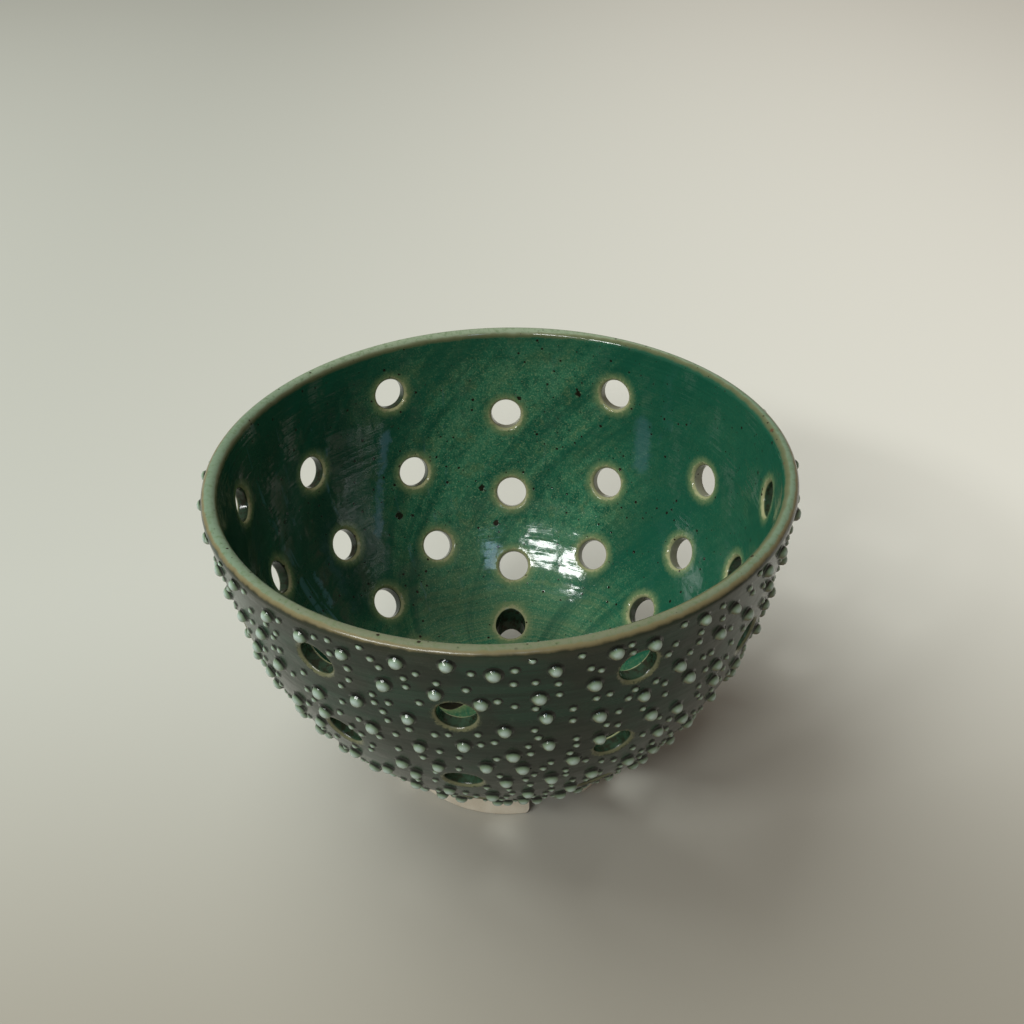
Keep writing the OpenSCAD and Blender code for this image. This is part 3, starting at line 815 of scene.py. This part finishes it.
# The running glaze: one group serves the wall and the dots
def glazeGroup():
    group, inputs, outputs = newGroup(
        "runningGlaze",
        [("Outside", number, 0.0), ("Lip Way", number, 50.0), ("Hole Gap", number, 9.0),
         ("Rise", number, 0.0), ("Upside", number, 0.0)],
        [("Colour", colour), ("Roughness", number), ("Height", number)])
    place = stretched(group, put(group, "ShaderNodeTexCoord").outputs["Object"], inMm)
    axes = put(group, "ShaderNodeSeparateXYZ", {0: place}).outputs
    flat = vectorMath(group, "MULTIPLY", {0: place, 1: (1, 1, 0)})
    facing = vectorMath(group, "NORMALIZE", {0: flat})
    radius = calc(group, "SQRT", plus(group, times(group, axes[0], axes[0]), times(group, axes[1], axes[1])))

    # The way round the bowl, wound with height so that a pattern climbs at a slant
    def wound(twist, reach, climb):
        turned = put(group, "ShaderNodeVectorRotate", {"Vector": facing, "Angle": times(group, axes[2], twist)},
                     rotation_type="Z_AXIS").outputs[0]
        wide = vectorMath(group, "SCALE", {0: turned, 3: reach})
        lift = put(group, "ShaderNodeCombineXYZ", {2: times(group, axes[2], climb)}).outputs[0]
        return vectorMath(group, "ADD", {0: wide, 1: lift})

    twist = innerLook["streakTwist"]
    patterns = dict(clouds=noise(group, place, 0.045, 4.0, 0.6, 0.4),
                    streaks=noise(group, wound(twist, 6.5, 0.010), 1.0, 4.0, 0.6, 0.35),
                    tongues=noise(group, wound(twist, 3.4, 0.03), 1.0, 4.0, 0.62, 0.6),
                    patches=noise(group, place, 0.17, 3.0, 0.65, 0.5),
                    mottle=noise(group, place, 0.55, 4.0, 0.7),
                    grain=noise(group, place, 1.9, 4.0, 0.8))
    mottle, rise, upside = patterns["mottle"], inputs["Rise"], inputs["Upside"]
    outside = fade(group, inputs["Outside"], 0.35, 0.75)
    inner = innerGlaze(group, place, axes, radius, wound, patterns, inputs["Lip Way"])
    base = tint(group, outside, inner, outerGlaze(group, place, mottle))
    way = plus(group, inputs["Lip Way"], wander(group, noise(group, place, 0.35, 3.0), lipLook["wander"]))
    base = lipGlaze(group, place, axes, base, outside, way)
    base = holeGlaze(group, place, axes, base, outside, mottle, inputs["Hole Gap"])
    # The dots' dark ring mask: partly pooled glaze, partly painted shade and reflection, most of it above each
    # dot
    poolAndShade = times(group, fade(group, rise, *dotLook["poolAndShadeRise"]),
                 fade(group, upside, *dotLook["poolAndShadeUpside"]))
    base = dotTop(group, base, mottle, rise, upside, poolAndShade)
    marks = ironMarks(group, place, outside)
    base = tint(group, marks, base, glaze["iron"])
    rust = times(group, speckMask(group, place, *speckLook["rust"]), within(group, way, *lipLook["rust"]))
    base = tint(group, times(group, rust, lipLook["rustShare"]), base, glaze["rust"])
    group.links.new(base, outputs["Colour"])

    rough = fade(group, outside, 0.0, 1.0, roughness["inside"], roughness["outside"], "LINEAR")
    rough = plus(group, rough, times(group, mottle, roughness["mottle"]))
    rough = calc(group, "SUBTRACT", rough, times(group, poolAndShade, roughness["poolAndShade"]), clamp=True)
    group.links.new(rough, outputs["Roughness"])
    group.links.new(glazeHeight(group, place, axes, radius, outside, mottle, marks), outputs["Height"])
    return group


glazeNodes = glazeGroup()


def newMaterial(name):
    material = bpy.data.materials.new(name)
    material.use_nodes = True
    return material, material.node_tree, material.node_tree.nodes["Principled BSDF"].inputs


# Shine of the glaze: how glassy, and the clear coat on the wall and on the dots
shine = dict(ior=1.48, coatRoughness=0.04, wallCoat=0.05, dotCoat=0.15)


def glazeMaterial(name, coat, isDot):
    material, tree, shader = newMaterial(name)
    group = put(tree, "ShaderNodeGroup", node_tree=glazeNodes)
    sources = [("Outside", "outside"), ("Lip Way", "lipWay"), ("Hole Gap", "holeGap")]
    if isDot:
        sources += [("Rise", "rise"), ("Upside", "upside")]
    for label, source in sources:
        tree.links.new(attribute(tree, source), group.inputs[label])
    bump = put(tree, "ShaderNodeBump", {"Strength": 1.0, "Distance": mm, "Height": group.outputs["Height"]})
    tree.links.new(group.outputs["Colour"], shader["Base Color"])
    tree.links.new(group.outputs["Roughness"], shader["Roughness"])
    tree.links.new(bump.outputs[0], shader["Normal"])
    shader["IOR"].default_value = shine["ior"]
    shader["Coat Weight"].default_value = coat
    shader["Coat Roughness"].default_value = shine["coatRoughness"]
    return material


# Bare clay: cream with sandy clouds, darker where it meets the glaze, with iron specks
clayLook = dict(cream=(0.60, 0.54, 0.43), pale=(0.68, 0.63, 0.52), sand=(0.50, 0.42, 0.30), sandShare=0.35,
                darkTop=(0.36, 0.27, 0.16), darkTopFrom=6.2, darkTopTo=8.6, darkTopShare=0.55,
                speck=(0.045, 0.022, 0.012), specks=(2.4, 0.24, 0.35), rough=0.82, speckRough=0.45,
                grain=0.10, lumps=0.15)


def clayMaterial():
    material, tree, shader = newMaterial("bareClay")
    look = clayLook
    place = stretched(tree, put(tree, "ShaderNodeTexCoord").outputs["Object"], inMm)
    base = tint(tree, fade(tree, noise(tree, place, 0.12, 3.0), 0.35, 0.65), look["cream"], look["pale"])
    sandy = fade(tree, noise(tree, place, 2.2, 4.0, 0.7), 0.45, 0.75, 0.0, look["sandShare"])
    base = tint(tree, sandy, base, look["sand"])
    height = put(tree, "ShaderNodeSeparateXYZ", {0: place}).outputs[2]
    darkTop = fade(tree, height, look["darkTopFrom"], look["darkTopTo"], 0.0, look["darkTopShare"])
    base = tint(tree, darkTop, base, look["darkTop"])
    marks = speckMask(tree, place, *look["specks"])
    base = tint(tree, marks, base, look["speck"])
    grain = plus(tree, times(tree, noise(tree, place, 3.0, 4.0, 0.7), look["grain"]),
                 times(tree, noise(tree, place, 0.4, 2.0), look["lumps"]))
    bump = put(tree, "ShaderNodeBump", {"Strength": 1.0, "Distance": mm, "Height": grain})
    tree.links.new(base, shader["Base Color"])
    tree.links.new(fade(tree, marks, 0.0, 1.0, look["rough"], look["speckRough"]), shader["Roughness"])
    tree.links.new(bump.outputs[0], shader["Normal"])
    return material


print("glazing")
bowlWall.data.materials.clear()
bowlWall.data.materials.append(glazeMaterial("bowlGlaze", shine["wallCoat"], False))
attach(bowlWall, "root")
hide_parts("bowl_wall")
dotGlaze = glazeMaterial("dotGlaze", shine["dotCoat"], True)
for piece in dotPieces:
    piece.data.materials.append(dotGlaze)
clay = clayMaterial()
for node in ("foot_front_left", "foot_right", "foot_rear_left"):
    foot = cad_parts[node]
    foot.data.materials.clear()
    foot.data.materials.append(clay)

# A pale floor with painted light and shade: paler to one side and darker towards the front
stage = dict(size=8.0, colour=(0.500, 0.508, 0.452), litSideColour=(0.86, 0.84, 0.76), sideFrom=-0.25, sideTo=0.35,
             shadedNearColour=(0.300, 0.276, 0.222), slant=0.10, nearEnd=-0.17, farEnd=0.11, roughness=0.9)


def floorMaterial():
    material, tree, shader = newMaterial("paleFloor")
    place = put(tree, "ShaderNodeSeparateXYZ", {0: put(tree, "ShaderNodeTexCoord").outputs["Object"]}).outputs
    away = minus(tree, place[1], times(tree, place[0], stage["slant"]))
    # Painted light: the floor paler towards the right
    aside = fade(tree, place[0], stage["sideFrom"], stage["sideTo"])
    shade = tint(tree, aside, stage["colour"], stage["litSideColour"])
    # Painted shade: the floor darker towards the front
    shade = tint(tree, fade(tree, away, stage["nearEnd"], stage["farEnd"]), stage["shadedNearColour"], shade)
    tree.links.new(shade, shader["Base Color"])
    shader["Roughness"].default_value = stage["roughness"]
    return material


bpy.ops.object.select_all(action="DESELECT")
bpy.ops.mesh.primitive_plane_add(size=stage["size"])
tableTop = bpy.context.object
tableTop.name = "tableTop"
tableTop.data.materials.append(floorMaterial())

# Soft studio light: two panes of a window behind the camera to the left, a small blue one beside
# them, and the sky above, which lights the bowl but isn't mirrored in it
lamps = dict(world=0.19, worldColour=(1.0, 0.81, 0.66), aim=(0, 0, 0.05),
             leftPane=dict(power=3.6, size=(0.30, 0.11), place=(-0.765, -0.620, 0.80), shade=(0.98, 1.0, 0.98)),
             rightPane=dict(power=3.6, size=(0.34, 0.11), place=(-0.44, -0.88, 0.80), shade=(0.98, 1.0, 0.98)),
             bluePane=dict(power=0.45, size=(0.16, 0.18), place=(0.12, -0.90, 0.84), shade=(0.55, 0.76, 1.0)),
             sky=dict(power=21.0, size=(1.3, 1.3), place=(-0.66, 0.32, 1.38), shade=(0.95, 1.0, 1.0)))


def softBox(name, power, size, place, shade):
    data = bpy.data.lights.new(name, "AREA")
    data.energy, data.color, data.shape = power, shade, "RECTANGLE"
    data.size, data.size_y = size
    lamp = bpy.data.objects.new(name, data)
    bpy.context.collection.objects.link(lamp)
    lamp.location = place
    lamp.rotation_mode = "QUATERNION"
    lamp.rotation_quaternion = (Vector(lamps["aim"]) - Vector(place)).to_track_quat("-Z", "Y")
    lamp.visible_glossy = name != "sky"


print("lighting")
for name in ("leftPane", "rightPane", "bluePane", "sky"):
    softBox(name, **lamps[name])
world = bpy.data.worlds.new("studio")
world.use_nodes = True
world.node_tree.nodes["Background"].inputs["Color"].default_value = (*lamps["worldColour"], 1)
world.node_tree.nodes["Background"].inputs["Strength"].default_value = lamps["world"]
bpy.context.scene.world = world

# The camera, worked out from the lip, the outline, the foot and the holes
lens = dict(place=(0, -0.28394, 0.27886), turn=(55.323, 1.469, -1.612), focal=44.908, sensor=36)
camData = bpy.data.cameras.new("camera")
camData.lens = lens["focal"]
camData.sensor_width = lens["sensor"]
camera = bpy.data.objects.new("camera", camData)
bpy.context.collection.objects.link(camera)
camera.location = lens["place"]
camera.rotation_euler = [math.radians(a) for a in lens["turn"]]
bpy.context.scene.camera = camera
bpy.context.scene.view_settings.view_transform = "Standard"
